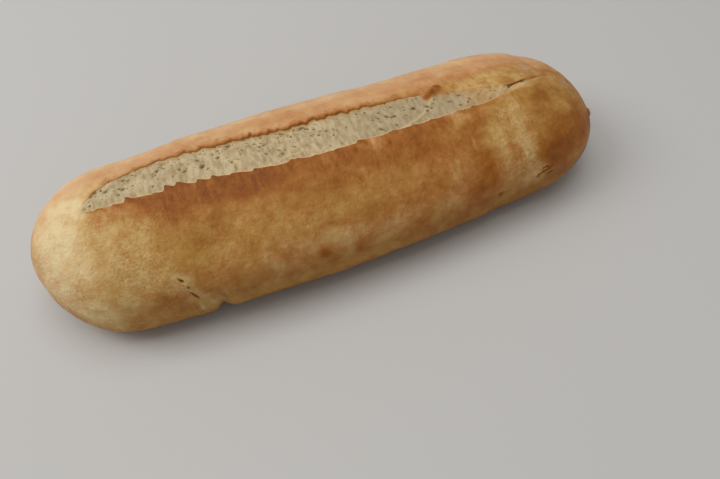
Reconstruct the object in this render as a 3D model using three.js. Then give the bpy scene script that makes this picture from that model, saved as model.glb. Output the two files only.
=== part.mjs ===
// A long, hand-shaped white loaf with one lengthwise score along its crest.
// Millimetres. +X runs along the loaf, +Y to its back and +Z up.
// The origin is the centre of the bounding box's underside.
import * as THREE from 'three';

// Overall size
const LENGTH = 394;
const FRONT_HALF_WIDTHS = [[-0.8, 60.5], [-0.4, 68], [0, 68.5], [0.4, 64.5], [0.8, 61]];
const BACK_HALF_WIDTHS = [[-0.8, 54.5], [-0.4, 65.5], [0, 69], [0.4, 66], [0.8, 65]];
const CROWN_HEIGHTS = [[-0.7, 75], [0, 74], [0.7, 72]];
const LAST_STATION = 0.95;
const BOW = -2.7;

// Rounded ends: the left one is blunter, the right one is longer and fuller
const LEFT_END = { length: 50, power: 1.9 };
const RIGHT_END = { length: 76, power: 2.45 };
const CROWN_END_STRETCH = 1.15;
const CROWN_END_POWER = 2.2;
const FOOT_END_POWER = 0.7;

// Cross-section: a half ellipse above the widest line, a squarer half below it
const WIDEST_LINE = 0.42;
const LOWER_SQUARENESS = 3.2;
const BASE_SAG = 1.5;

// The score, as back and front lip lines seen from above
const BACK_LIP = [
  [-158, -7], [-144, 4.5], [-124, 12], [-84, 16], [-20, 11],
  [58, 7], [92, 0], [131, -8.5], [165, 2],
];
const FRONT_LIP = [
  [-158, -8.5], [-134, -13.6], [-104, -14.4], [-57, -18.5], [-22, -21.5],
  [86, -20.5], [112, -19.5], [133, -10.8], [146, -8.3], [165, 0.5],
];
const SCORE_START = [-158, -142];
const SCORE_FINISH = [112, 148];
const BACK_LIP_RISE = 0.6;
const BACK_STEP = 1.6;
const FRONT_LIP_RISE = 1.5;
const FRONT_STEP = 1.6;
const CRUMB_BULGE = 0.8;
const LIP_REACH = 9;
const LIP_LIMIT = 0.85;
const LEAST_SCORE_ANGLE = 0.05;

// A burst low on the front, running down to a notch in the foot
const BURST_TOP = new THREE.Vector2(-112, 49);
const BURST_FOOT = new THREE.Vector2(-96, 10);
const BURST_DEPTH = 3;
const BURST_WIDTH = 5;

// Slow unevenness of the dough, as amplitude, wavelength, waves around and phase
const SWELLS = [
  { rise: 0.4, wavelength: 230, around: 2, phase: 0.6 },
  { rise: 0.35, wavelength: 118, around: 3, phase: 2.1 },
  { rise: 0.25, wavelength: 63, around: 5, phase: 4.0 },
];

// Mesh fineness
const LEFT_END_RINGS = 11;
const RIGHT_END_RINGS = 13;
const BODY_RING_STEP = 5;
const BACK_SPANS = 14;
const CRUMB_SPANS = 6;
const FRONT_SPANS = 16;
const UNDER_SPANS = 22;

const CRUST_COLOUR = '#a9713c';
const CRUST_ROUGHNESS = 0.7;

const { clamp, lerp, smoothstep } = THREE.MathUtils;

// The polynomial through every [station, value] pair
function through(pairs, t) {
  let sum = 0;
  for (const [station, value] of pairs) {
    let weight = 1;
    for (const [other] of pairs) {
      if (other !== station) weight *= (t - other) / (station - other);
    }
    sum += weight * value;
  }
  return sum;
}

// An eased line through [x, y] points, level beyond its two ends
function easedLine(points, x) {
  if (x <= points[0][0]) return points[0][1];
  for (let i = 1; i < points.length; i += 1) {
    const [x0, y0] = points[i - 1];
    const [x1, y1] = points[i];
    if (x <= x1) return lerp(y0, y1, smoothstep(x, x0, x1));
  }
  return points[points.length - 1][1];
}

// How full the loaf is at a distance in from its tip: 0 at the tip, 1 past the end
function fullness(distance, length, power) {
  const left = clamp(1 - distance / length, 0, 1);
  return (1 - left ** power) ** (1 / power);
}

function sectionAt(x) {
  const t = (2 * x) / LENGTH;
  const station = clamp(t, -LAST_STATION, LAST_STATION);
  const fromLeft = LENGTH / 2 + x;
  const fromRight = LENGTH / 2 - x;
  const plan = fullness(fromLeft, LEFT_END.length, LEFT_END.power)
    * fullness(fromRight, RIGHT_END.length, RIGHT_END.power);
  const rise = fullness(fromLeft, LEFT_END.length * CROWN_END_STRETCH, CROWN_END_POWER)
    * fullness(fromRight, RIGHT_END.length * CROWN_END_STRETCH, CROWN_END_POWER);
  const crown = through(CROWN_HEIGHTS, station);
  const middle = crown * WIDEST_LINE;
  return {
    x,
    plan,
    front: through(FRONT_HALF_WIDTHS, station) * plan,
    back: through(BACK_HALF_WIDTHS, station) * plan,
    centre: BOW * (1 - t * t),
    middle,
    upper: (crown - middle) * rise,
    lower: (middle + BASE_SAG) * rise ** FOOT_END_POWER,
  };
}

// The angle round the section is 0 at the back, a quarter turn at the crest,
// half a turn at the front and three quarters under the loaf
function angleOf(section, y) {
  const offset = y - section.centre;
  const half = offset > 0 ? section.back : section.front;
  return Math.acos(clamp(offset / half, -LIP_LIMIT, LIP_LIMIT));
}

function swell(x, angle) {
  let sum = 0;
  for (const { rise, wavelength, around, phase } of SWELLS) {
    sum += rise * Math.sin((2 * Math.PI * x) / wavelength + phase) * Math.sin(around * angle + phase);
  }
  return sum;
}

// How deep the front burst cuts at a point of the front face
function burst(x, z, angle) {
  if (angle < Math.PI / 2 || angle > 1.5 * Math.PI) return 0;
  const run = BURST_FOOT.clone().sub(BURST_TOP);
  const point = new THREE.Vector2(x, z).sub(BURST_TOP);
  const along = clamp(point.dot(run) / run.lengthSq(), 0, 1);
  const away = point.distanceTo(run.clone().multiplyScalar(along));
  return BURST_DEPTH * lerp(0.4, 1, along) * Math.exp(-((away / BURST_WIDTH) ** 2));
}

// A point of the surface, lifted along the line out from the section's middle
function surfacePoint(section, angle, lift) {
  const side = Math.cos(angle);
  const height = Math.sin(angle);
  const power = height >= 0 ? 1 : 2 / LOWER_SQUARENESS;
  const half = side > 0 ? section.back : section.front;
  const reach = height >= 0 ? section.upper : section.lower;
  const out = half * Math.sign(side) * Math.abs(side) ** power;
  const up = reach * Math.sign(height) * Math.abs(height) ** power;
  const size = Math.hypot(out, up);
  const cut = burst(section.x, section.middle + up, angle);
  const grown = size === 0 ? 1 : 1 + (lift + swell(section.x, angle) * section.plan - cut) / size;
  const z = Math.max(0, section.middle + up * grown);
  return new THREE.Vector3(section.x, section.centre + out * grown, z);
}

// One ring of points from the back, over the crest, and under the loaf
function ringAt(x) {
  const section = sectionAt(x);
  const depth = smoothstep(x, ...SCORE_START) * (1 - smoothstep(x, ...SCORE_FINISH));
  let backLip = angleOf(section, easedLine(BACK_LIP, x));
  let frontLip = angleOf(section, easedLine(FRONT_LIP, x));
  const spare = Math.max(0, LEAST_SCORE_ANGLE - (frontLip - backLip)) / 2;
  backLip -= spare;
  frontLip += spare;
  const lipRise = (angle, lip, rise) => {
    const away = Math.abs(angle - lip) * (section.front + section.back) / 2;
    return depth * rise * Math.exp(-((away / LIP_REACH) ** 2));
  };
  const ring = [];
  for (let i = 0; i <= BACK_SPANS; i += 1) {
    const angle = lerp(0, backLip, i / BACK_SPANS);
    ring.push(surfacePoint(section, angle, lipRise(angle, backLip, BACK_LIP_RISE)));
  }
  for (let i = 0; i <= CRUMB_SPANS; i += 1) {
    const across = i / CRUMB_SPANS;
    const angle = lerp(backLip, frontLip, lerp(0.06, 0.94, across));
    const floor = -lerp(BACK_STEP, FRONT_STEP, across) + CRUMB_BULGE * Math.sin(Math.PI * across);
    ring.push(surfacePoint(section, angle, depth * floor));
  }
  for (let i = 0; i <= FRONT_SPANS; i += 1) {
    const angle = lerp(frontLip, Math.PI, i / FRONT_SPANS);
    ring.push(surfacePoint(section, angle, lipRise(angle, frontLip, FRONT_LIP_RISE)));
  }
  for (let i = 1; i < UNDER_SPANS; i += 1) {
    ring.push(surfacePoint(section, lerp(Math.PI, 2 * Math.PI, i / UNDER_SPANS), 0));
  }
  return ring;
}

// Where the rings stand: bunched towards each tip, evenly spaced between the ends
function ringPlaces() {
  const places = [];
  for (let i = 1; i <= LEFT_END_RINGS; i += 1) {
    const turn = (i / LEFT_END_RINGS) * (Math.PI / 2);
    places.push(-LENGTH / 2 + LEFT_END.length * (1 - Math.cos(turn)));
  }
  const bodyStart = -LENGTH / 2 + LEFT_END.length;
  const bodyEnd = LENGTH / 2 - RIGHT_END.length;
  const bodySteps = Math.round((bodyEnd - bodyStart) / BODY_RING_STEP);
  for (let i = 1; i < bodySteps; i += 1) {
    places.push(lerp(bodyStart, bodyEnd, i / bodySteps));
  }
  for (let i = RIGHT_END_RINGS; i >= 1; i -= 1) {
    const turn = (i / RIGHT_END_RINGS) * (Math.PI / 2);
    places.push(LENGTH / 2 - RIGHT_END.length * (1 - Math.cos(turn)));
  }
  return places;
}

function tipPoint(x) {
  const section = sectionAt(x);
  return new THREE.Vector3(x, section.centre, section.middle);
}

// Joins the rings into one closed skin with a fan at each tip
function loafGeometry() {
  const rings = ringPlaces().map(ringAt);
  const around = rings[0].length;
  const points = [tipPoint(-LENGTH / 2), ...rings.flat(), tipPoint(LENGTH / 2)];
  const lastTip = points.length - 1;
  const at = (ring, i) => 1 + ring * around + (i % around);
  const faces = [];
  for (let i = 0; i < around; i += 1) {
    faces.push(0, at(0, i + 1), at(0, i));
    faces.push(lastTip, at(rings.length - 1, i), at(rings.length - 1, i + 1));
  }
  for (let ring = 0; ring < rings.length - 1; ring += 1) {
    for (let i = 0; i < around; i += 1) {
      faces.push(at(ring, i), at(ring + 1, i + 1), at(ring + 1, i));
      faces.push(at(ring, i), at(ring, i + 1), at(ring + 1, i + 1));
    }
  }
  const geometry = new THREE.BufferGeometry().setFromPoints(points);
  geometry.setIndex(faces);
  geometry.computeBoundingBox();
  const centre = geometry.boundingBox.getCenter(new THREE.Vector3());
  geometry.translate(-centre.x, -centre.y, -geometry.boundingBox.min.z);
  geometry.computeVertexNormals();
  return geometry;
}

const crust = new THREE.MeshStandardMaterial({
  color: CRUST_COLOUR,
  roughness: CRUST_ROUGHNESS,
  metalness: 0,
});

const loaf = new THREE.Mesh(loafGeometry(), crust);
loaf.name = 'loaf';

const group = new THREE.Group();
group.add(loaf);

export default group;
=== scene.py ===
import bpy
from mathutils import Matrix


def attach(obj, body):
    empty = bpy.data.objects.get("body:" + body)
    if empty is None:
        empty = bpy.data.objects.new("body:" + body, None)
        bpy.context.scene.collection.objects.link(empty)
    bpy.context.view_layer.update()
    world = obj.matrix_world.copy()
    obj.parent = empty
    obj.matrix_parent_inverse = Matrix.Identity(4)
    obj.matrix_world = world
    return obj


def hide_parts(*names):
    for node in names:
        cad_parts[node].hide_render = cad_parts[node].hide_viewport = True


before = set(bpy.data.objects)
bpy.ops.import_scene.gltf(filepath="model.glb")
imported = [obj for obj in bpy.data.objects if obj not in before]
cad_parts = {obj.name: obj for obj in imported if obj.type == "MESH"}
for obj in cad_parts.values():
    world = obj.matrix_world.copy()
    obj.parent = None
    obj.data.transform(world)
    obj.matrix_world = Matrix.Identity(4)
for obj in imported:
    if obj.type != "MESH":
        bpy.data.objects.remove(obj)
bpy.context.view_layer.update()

import itertools
import math

import bpy
import numpy as np
from mathutils import Matrix, Vector

# A long hand-shaped white loaf, scored once along its crest, on a plain pale floor.
# Lengths are in millimetres until the mesh is made. +X runs along the loaf, +Y to its back.
# The angle round a section is 0 at the back, a quarter turn at the crest, half a turn at
# the front and three quarters under the loaf. "Down" is degrees from the crest towards the
# front, so it is negative behind the crest, 180 under the loaf and 270 at the back again.

MM = 0.001
SEED = 4127

# ---- sizes of the loaf

LENGTH = 394
# Half widths and crown heights, each at stations from -1 at the left tip to 1 at the right
FRONT_HALF_WIDTHS = [(-0.8, 60.5), (-0.4, 68), (0, 68.5), (0.4, 64.5), (0.8, 61)]
BACK_HALF_WIDTHS = [(-0.8, 54.5), (-0.4, 65.5), (0, 69), (0.4, 66), (0.8, 65)]
CROWN_HEIGHTS = [(-0.7, 75), (0, 74), (0.7, 72)]
LAST_STATION = 0.95
BOW = -2.7

LEFT_END_LENGTH = 50
LEFT_END_POWER = 1.9
RIGHT_END_LENGTH = 76
RIGHT_END_POWER = 2.45
CROWN_END_STRETCH = 1.15
CROWN_END_POWER = 2.2
FOOT_END_POWER = 0.7

WIDEST_LINE = 0.42
LOWER_SQUARENESS = 3.2
BASE_SAG = 1.5

# Slow unevenness of the dough: rise, wavelength along the loaf, waves around it, phase
SWELLS = [(0.4, 230, 2, 0.6), (0.35, 118, 3, 2.1), (0.25, 63, 5, 4.0)]
# Lumps of the dough, in crust and crumb alike
LUMP_SIZE = 22
LUMP_HEIGHT = 0.55
# Soft dents and bulges of the dough: (x, down, half length in mm, half height in degrees, lift)
DENTS = [
    (101, 100, 8, 13, -3.0), (121, 97, 15, 12, -1.6), (-60, 100, 70, 14, -1.4),
    (42, -50, 26, 22, -1.9), (128, -48, 22, 20, 1.4), (168, -40, 9, 20, -1.6),
]

# ---- sizes of the score

# Lip lines seen from above, as (x, y), and how boldly each lip stands at x
BACK_LIP = [
    (-158, -7), (-151, -1), (-144, 4.5), (-136, 8.5), (-124, 12), (-106, 15.5), (-84, 16), (-60, 13.5),
    (-20, 11), (25, 10), (58, 7), (71, 5), (80, 2.5), (92, 0), (108, -3),
    (122, -6.5), (131, -8.5), (146, -6.5), (155, -4.6), (165, -1.7), (180, -0.6),
]
FRONT_LIP = [
    (-158, -8.5), (-150, -11.2), (-134, -13.6), (-104, -14.4), (-80, -16.5), (-57, -18.5),
    (-22, -21.5), (40, -21), (86, -20.5), (112, -19.5), (120, -17.5), (127, -14), (133, -10.8),
    (146, -8.3), (155, -6.0), (165, -3.2), (180, -2.0),
]
BACK_LIP_BOLDNESS = [
    (-158, 0), (-148, 0.6), (-135, 1), (66, 1), (80, 0.1), (125, 0.0), (132, 0.5), (146, 0.5), (153, 0),
]
FRONT_LIP_BOLDNESS = [
    (-158, 0), (-146, 0.55), (-130, 1), (20, 1), (70, 0.8), (118, 0.6), (133, 0.4), (152, 0),
]
# How deep the score is at x, as a share of its full depth
SCORE_DEPTH = [
    (-158, 0), (-150, 0.5), (-138, 1), (72, 1), (88, 0.6), (122, 0.5), (131, 1), (147, 1), (156, 0.35),
    (178, 0),
]
LEAST_SCORE_WIDTH = 1.6
SCORE_KEEPS_WITHIN = 0.85
# Past its two ends the score's columns part again, from the first x to the second
LEFT_PARTING = (-164, -182)
RIGHT_PARTING = (182, 194)
PARTED_WIDTH = 24
PARTED_WIDTH_AT_TIP = 30

BACK_LIP_RISE = 0.35
BACK_STEP = 0.2
BACK_TUCK = 0.9
FRONT_LIP_RISE = 0.9
FRONT_STEP = 0.5
FRONT_BEVEL = 2.6
CRUMB_BULGE = 0.4
LIP_REACH = 8
# The relief of the score is full from this width on, and never less than this share
FULL_RELIEF_WIDTH = 9
LEAST_RELIEF = 0.15

# Torn teeth along the front lip: (x, height); each jumps up and tails off to the right
BIG_TEETH = [
    (-151, 0.7), (-145.5, 1.4), (-136, 1.3), (-128, 3.2), (-104.5, 2.6), (-97, 1.2),
    (-85, 1.0), (-76, 0.7), (-28, 0.8), (16, 1.8), (38, 0.7), (54, 0.8), (67, 1.2),
    (86, 1.1), (97, 0.8),
]
SMALL_TEETH_BETWEEN = (-118.0, 128)
SMALL_TOOTH_HEIGHTS = (0.2, 0.85)
SMALL_TOOTH_GAP = 9.5
TOOTH_JUMP = 0.9
TOOTH_TAIL = 6.5
TOOTH_RISE = 0.35

# ---- what lies in the crumb

# The largest pores: (x, share of the way from the back lip to the front lip, radius)
BIG_PORES = [
    (-138, 0.35, 1.3), (-124, 0.3, 1.2), (-106, 0.36, 1.3), (-102, 0.34, 1.1), (-81, 0.34, 1.4),
    (-79, 0.56, 1.6), (-60, 0.12, 1.8), (-69, 0.42, 1.1), (-44, 0.3, 1.1), (-42, 0.38, 1.0),
    (-25, 0.14, 1.7), (-9, 0.16, 1.5), (-2, 0.42, 1.0), (2, 0.42, 1.0), (37, 0.48, 1.1),
    (43, 0.5, 1.3), (62, 0.46, 1.4), (71, 0.52, 1.4), (100, 0.6, 1.0), (86, 0.5, 0.9),
]
BIG_PORE_STRETCH = 1.15
BIG_PORE_DEPTH = 1.3
SMALL_PORES = 120
SMALL_PORES_BETWEEN = (-152, 140)
SMALL_PORE_RADIUS = 0.65
SMALL_PORE_SPREAD = 0.2
LARGEST_SMALL_PORE = 1.3
SMALL_PORE_DEPTH = 0.75
DEEPEST_SMALL_PORE = 1.2
SMALL_PORE_STRETCH = (0.9, 1.6)

# Strands of torn crumb: (x, share of the way across) of their points, and how boldly they show
STRANDS = [
    ([(48, 0.96), (58, 0.86), (66, 0.72), (72, 0.5), (79, 0.16)], 1.0),
    ([(-34, 0.88), (-20, 0.8), (-4, 0.86), (8, 0.95)], 0.9),
    ([(-59, 0.45), (-57, 0.75), (-58, 0.95)], 0.5),
    ([(-54, 0.35), (-53, 0.6), (-54, 0.8)], 0.3),
    ([(-24, 0.3), (-23, 0.75)], 0.25),
    ([(12, 0.5), (11, 0.7), (12, 0.92)], 0.35),
    ([(34, 0.55), (36, 0.92)], 0.3),
    ([(-118, 0.35), (-117, 0.85)], 0.3),
    ([(90, 0.25), (92, 0.85)], 0.3),
    ([(108, 0.35), (104, 0.6), (103, 0.9)], 0.5),
    ([(116, 0.2), (119, 0.5), (125, 0.95)], 0.8),
    ([(126, 0.3), (132, 0.45), (137, 0.3)], 0.6),
    ([(95, 0.8), (99, 0.55), (102, 0.2)], 0.5),
    ([(100, 0.62), (106, 0.42), (112, 0.2)], 0.6),
    ([(109, 0.92), (115, 0.65), (121, 0.4)], 0.7),
    ([(118, 0.88), (123, 0.7), (130, 0.62)], 0.8),
]
STRAND_HALF_WIDTH = 0.7
STRAND_HEIGHT = 0.6

# The web of ridges between the pores
WEB_SIZE = (6.0, 11.0, 1)
WEB_HEIGHT = 0.42

# The crumb ends in an open crevice between these two x
CREVICE = (131.5, 142)
CREVICE_DEPTH = 1.8
CREVICE_TAPER = 3
# How dark the crevice is painted: painted shade inside it
CREVICE_SHADE = 0.9

# ---- marks on the crust

# Browning: (x, down, half length in mm, half height in degrees, strength)
BROWNED = [
    # the dark band below the front lip
    (-118, 14, 12, 6, 0.3), (-101, 22, 9, 10, 0.28), (-72, 19, 26, 8, 0.42), (-40, 20, 16, 9, 0.32),
    (-8, 22, 16, 9, 0.22), (18, 25, 14, 9, 0.16), (44, 26, 13, 9, 0.24), (68, 21, 12, 6, 0.16),
    (97, 26, 11, 7, 0.24), (91, 62, 9, 8, 0.1), (-113, 56, 8, 12, 0.08), (-60, 38, 42, 15, 0.06),
    (-112, 19, 12, 6, 0.14), (-92, 18, 10, 6, 0.12), (60, 17, 8, 5, 0.1),
    # the band low on the front, with its darker spots
    (-126, 82, 13, 8, 0.2), (-88, 74, 22, 12, 0.2), (-45, 72, 20, 13, 0.16), (-29, 78, 6, 6, 0.24),
    (-2, 78, 6, 8, 0.17), (20, 66, 18, 12, 0.14), (39, 84, 7, 8, 0.24), (50, 62, 20, 10, 0.14),
    (86, 72, 17, 16, 0.32), (60, 38, 16, 12, 0.25), (90, 46, 9, 10, 0.19), (89, 80, 9, 7, 0.12),
    # the right-hand end
    (148, 21, 6, 7, 0.22), (150, 42, 16, 14, 0.14), (160, 18, 8, 6, 0.1), (158, 62, 20, 16, 0.3),
    (140, 69, 9, 11, 0.28), (172, 45, 12, 22, 0.2), (186, 58, 7, 12, 0.32), (150, 85, 16, 8, 0.12),
    # small spots in the middle of the front
    (-30, 28, 9, 5, 0.09), (-30, 52, 9, 5, 0.09), (112, 52, 4, 5, 0.1),
    # the crust beyond the score
    (122, -14, 26, 3, 0.07), (168, -4, 14, 4, 0.16), (99, -6, 6, 3, 0.08), (115, -8, 7, 3, 0.1),
    (131, -9, 6, 4, 0.1), (107, -2, 5, 2, 0.06),
]
# Paler skin, in the same form
PALE = [
    (-158, -2, 9, 8, 0.4), (135, 83, 9, 7, 0.14), (-166, 25, 14, 30, 0.2), (-180, 10, 14, 40, 0.12),
    (-182, 70, 12, 30, 0.12), (-160, 87, 14, 12, 0.19), (-140, 78, 12, 8, 0.08), (-60, 78, 12, 6, 0.08),
    (30, 18, 6, 5, 0.26), (160, 30, 9, 8, 0.06), (87, 20, 6, 7, 0.16), (136, 9, 15, 3.5, 0.3),
    (108, 22, 6, 10, 0.05), (-130, 45, 22, 22, 0.05), (-15, 68, 30, 9, 0.06), (-182, 50, 10, 50, 0.06),
    (-60, 46, 18, 8, 0.12), (-20, 50, 26, 8, 0.08), (70, 44, 16, 12, 0.08), (106, 40, 6, 13, 0.24),
    (124, 50, 6, 36, 0.17), (127, 88, 10, 9, 0.08), (121, 25, 5, 8, 0.06), (146, 0.5, 8, 2.5, 0.12),
    (104, 96, 9, 8, 0.12), (-60, 100, 70, 6, 0.1), (60, 102, 60, 6, 0.1),
]
# Golden skin that stays less red, in the same form
GILDED = [
    (118, 17, 12, 5, 0.3), (145, 16, 9, 5, 0.35), (-115, 44, 12, 18, 0.3), (112, -5, 26, 7, 0.38),
    (140, -9, 14, 6, 0.3), (155, 32, 24, 26, 0.42), (108, 26, 12, 20, 0.4), (66, 20, 14, 8, 0.25),
    (-105, 18, 12, 8, 0.25), (-128, 45, 30, 24, 0.3), (165, 26, 14, 10, 0.3), (-78, 44, 20, 10, 0.3),
    (4, 50, 24, 8, 0.2),
]
# How strongly those three change the browning and the redness
BROWNED_BAKE = 0.75
BROWNED_RUSSET = 2.6
PALE_RUSSET = 1.4
# Flour left on the skin, in the same form
FLOURED = [(153, -7, 4.5, 3.5, 0.45), (158, -3, 3, 2.5, 0.3), (180, 9, 4, 4, 0.35), (177, 16, 4, 4, 0.2)]
# Where the skin is puckered into small folds, in the same form without a strength
PUCKERED = [(112, -5, 26, 7), (136, -2, 14, 8), (-158, 3, 8, 8), (120, 6, 12, 8)]
PUCKER_HEIGHT = 0.40

# The darker cap at the right-hand end begins sharply at this edge, as (down, x)
CAP_EDGE = [(8, 150), (15, 145), (27, 139), (39, 133), (49, 131.5), (72, 132), (90, 140)]
CAP_REACH = 26
CAP_BAKE = 0.10

# Thin pale ridges of stretched skin: (x, down) of each end and how boldly they show
PALE_RIDGES = [
    ((89, 32), (87.5, 47), 0.9), ((119, 50), (122, 66), 0.7), ((127, 16), (126, 34), 0.6),
    ((124, 60), (129, 76), 0.6), ((-108, 92), (-104, 106), 1.0), ((-101, 92), (-98, 104), 0.8),
    ((-157, 12), (-168, 40), 0.6), ((-163, 4), (-172, 22), 0.6), ((124, 14.5), (138, 10.5), 0.9),
    ((138, 10.5), (150, 7), 0.8), ((-99, 36), (-90, 40), 0.5), ((-92, 52), (-101, 60), 0.6),
    ((-72, 40), (-62, 36), 0.4), ((6, 36), (10, 42), 0.5), ((-60, 62), (-64, 76), 0.5),
    ((150, 12), (158, 20), 0.4), ((95, 96), (105, 92.5), 1.0), ((150, 7.5), (161, 4.5), 0.7),
    ((150, 2), (160, 0), 0.5), ((91, 89), (98, 86.5), 0.7), ((104, 88), (111, 85), 0.6),
]
RIDGE_HALF_WIDTH = 0.8
RIDGE_HEIGHT = 0.5

# The burst low on the front: (x, down) points of its line, ending in the foot
BURST_LINE = [(-112, 64), (-109, 75), (-103, 90), (-96, 108)]
BURST_WIDTH = 5
BURST_DEPTH = 2.2
# The notch where the burst meets the foot
NOTCH_X = -94
NOTCH_REACH = 3.6
NOTCH_DEPTH = 3.8
# Open slits: (x, down) of each end, half width in mm and depth in mm
SLITS = [
    ((-113, 65), (-110.5, 68.5), 0.9, 1.2),
    ((-110, 72.5), (-109, 75), 0.6, 1.0),
    ((-109.5, 79), (-106, 89), 0.65, 1.8),
    ((130, 84.5), (139, 80), 1.25, 1.7),
    ((135, 88), (141, 85), 1.0, 1.3),
    ((129, 88), (131, 79), 0.7, 1.0),
    ((133, 78), (138, 77), 0.6, 0.8),
    ((96, 92.5), (103, 89.5), 0.9, 1.4),
]
SLIT_RIM_HEIGHT = 0.5
SLIT_RIM_PLACE = 2.2

# The crease that runs on from the score to the right-hand tip, as (x, down), and its banks
CREASE = [(142, 7), (151, 4.8), (166, 1.6), (177, 1.2), (187, 1)]
CREASE_DEPTH = 0.6
CREASE_HALF_WIDTH = 1.0
BANK_HEIGHT = 0.35
BANK_HALF_WIDTH = 1.3
BANK_PLACE = 2.4

# Raised knobs of dark crust: (x, down) of each end, half width, height, darkness
KNOBS = [
    ((74.0, -2), (78.5, -3.5), 1.9, 2.0, 0.4),
    ((77.5, -3.5), (82, -6), 2.5, 2.1, 0.32),
    ((82, -6.5), (85.5, -8.5), 1.9, 1.8, 0.38),
    ((189.5, 52), (190.5, 60), 2.2, 1.3, 0.12),
]


# ---- helpers

def smoothstep(x, start, end):
    """0 up to start, 1 from end on and smooth between them; start may be the larger."""
    t = np.clip((x - start) / (end - start), 0, 1)
    return t * t * (3 - 2 * t)


def hump(x, middle, half_width):
    """A soft rise that is 1 at its middle."""
    return np.exp(-(((x - middle) / half_width) ** 2))


def mix(a, b, t):
    return a + (b - a) * t


def through(pairs, t):
    """The polynomial through every (station, value) pair."""
    total = 0
    for station, value in pairs:
        weight = 1.0
        for other, _ in pairs:
            if other != station:
                weight = weight * (t - other) / (station - other)
        total = total + weight * value
    return total


def curve(points, x):
    """A smooth line through (place, value) points, level beyond its two ends."""
    places, values = np.array(points, float).T
    slopes = np.gradient(values, places)
    slopes[0] = slopes[-1] = 0
    x = np.clip(x, places[0], places[-1])
    i = np.clip(np.searchsorted(places, x, side="right") - 1, 0, len(places) - 2)
    gap = places[i + 1] - places[i]
    t = (x - places[i]) / gap
    start = (2 * t**3 - 3 * t**2 + 1) * values[i] + (t**3 - 2 * t**2 + t) * gap * slopes[i]
    end = (3 * t**2 - 2 * t**3) * values[i + 1] + (t**3 - t**2) * gap * slopes[i + 1]
    return start + end


def bezier(points, t):
    a, b, c, d = points
    return a * (1 - t) ** 3 + 3 * b * t * (1 - t) ** 2 + 3 * c * t**2 * (1 - t) + d * t**3


def column(values):
    """One value for each ring, shaped to spread over the ring's columns."""
    return np.asarray(values, float)[:, None]


NOISE_SLOPES = 1024
NOISE_GAIN = 1.7


def noise(points, size, seed):
    """Gradient noise of about -1 to 1 at points (..., 3), with lumps of that size."""
    rng = np.random.default_rng(SEED + seed)
    slopes = rng.normal(size=(NOISE_SLOPES, 3))
    slopes /= np.linalg.norm(slopes, axis=1, keepdims=True)
    order = rng.permutation(NOISE_SLOPES)
    scaled = points / np.asarray(size, float)
    cell = np.floor(scaled).astype(np.int64)
    part = scaled - cell
    fade = part**3 * (part * (part * 6 - 15) + 10)
    total = np.zeros(points.shape[:-1])
    for corner in itertools.product((0, 1), repeat=3):
        key = np.zeros(points.shape[:-1], np.int64)
        weight = np.ones(points.shape[:-1])
        lean = np.zeros(points.shape[:-1])
        for axis, step in enumerate(corner):
            key = order[(key + cell[..., axis] + step) % NOISE_SLOPES]
            weight = weight * (fade[..., axis] if step else 1 - fade[..., axis])
        for axis, step in enumerate(corner):
            lean = lean + slopes[key, axis] * (part[..., axis] - step)
        total += weight * lean
    return total * NOISE_GAIN


def fractal(points, size, octaves, seed):
    """Several octaves of noise, each half the size and half the height of the last."""
    total = 0
    reach = 0
    for octave in range(octaves):
        total = total + noise(points, np.asarray(size, float) / 2**octave, seed + octave) / 2**octave
        reach += 0.5**octave
    return total / reach


# ---- the smooth skin

LEAST_RADIUS = 0.01
LEAST_NORMAL = 1e-9


def fullness(distance, length, power):
    """How full the loaf is at a distance in from its tip: 0 at the tip, 1 past the end."""
    left = np.clip(1 - distance / length, 0, 1)
    return (1 - left**power) ** (1 / power)


def section_at(x):
    """The section's half widths and heights at x, and how full the loaf is there seen from above."""
    t = 2 * x / LENGTH
    station = np.clip(t, -LAST_STATION, LAST_STATION)
    from_left = LENGTH / 2 + x
    from_right = LENGTH / 2 - x
    plan = fullness(from_left, LEFT_END_LENGTH, LEFT_END_POWER)
    plan = plan * fullness(from_right, RIGHT_END_LENGTH, RIGHT_END_POWER)
    rise = fullness(from_left, LEFT_END_LENGTH * CROWN_END_STRETCH, CROWN_END_POWER)
    rise = rise * fullness(from_right, RIGHT_END_LENGTH * CROWN_END_STRETCH, CROWN_END_POWER)
    crown = through(CROWN_HEIGHTS, station)
    middle = crown * WIDEST_LINE
    return {
        "x": x,
        "plan": plan,
        "front": through(FRONT_HALF_WIDTHS, station) * plan,
        "back": through(BACK_HALF_WIDTHS, station) * plan,
        "centre": BOW * (1 - t * t),
        "middle": middle,
        "upper": (crown - middle) * rise,
        "lower": (middle + BASE_SAG) * rise**FOOT_END_POWER,
    }


def skin(section, angle):
    """Points of the smooth skin, with the base not yet pressed flat."""
    side = np.cos(angle)
    height = np.sin(angle)
    power = np.where(height >= 0, 1, 2 / LOWER_SQUARENESS)
    half = np.where(side > 0, section["back"], section["front"])
    reach = np.where(height >= 0, section["upper"], section["lower"])
    out = half * np.sign(side) * np.abs(side) ** power
    up = reach * np.sign(height) * np.abs(height) ** power
    swell = 0
    for rise, wavelength, around, phase in SWELLS:
        along = np.sin(2 * np.pi * section["x"] / wavelength + phase)
        swell = swell + rise * along * np.sin(around * angle + phase)
    grown = 1 + swell * section["plan"] / np.maximum(np.hypot(out, up), LEAST_RADIUS)
    x = np.broadcast_to(section["x"], out.shape)
    return np.stack([x, section["centre"] + out * grown, section["middle"] + up * grown], -1)


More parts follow.
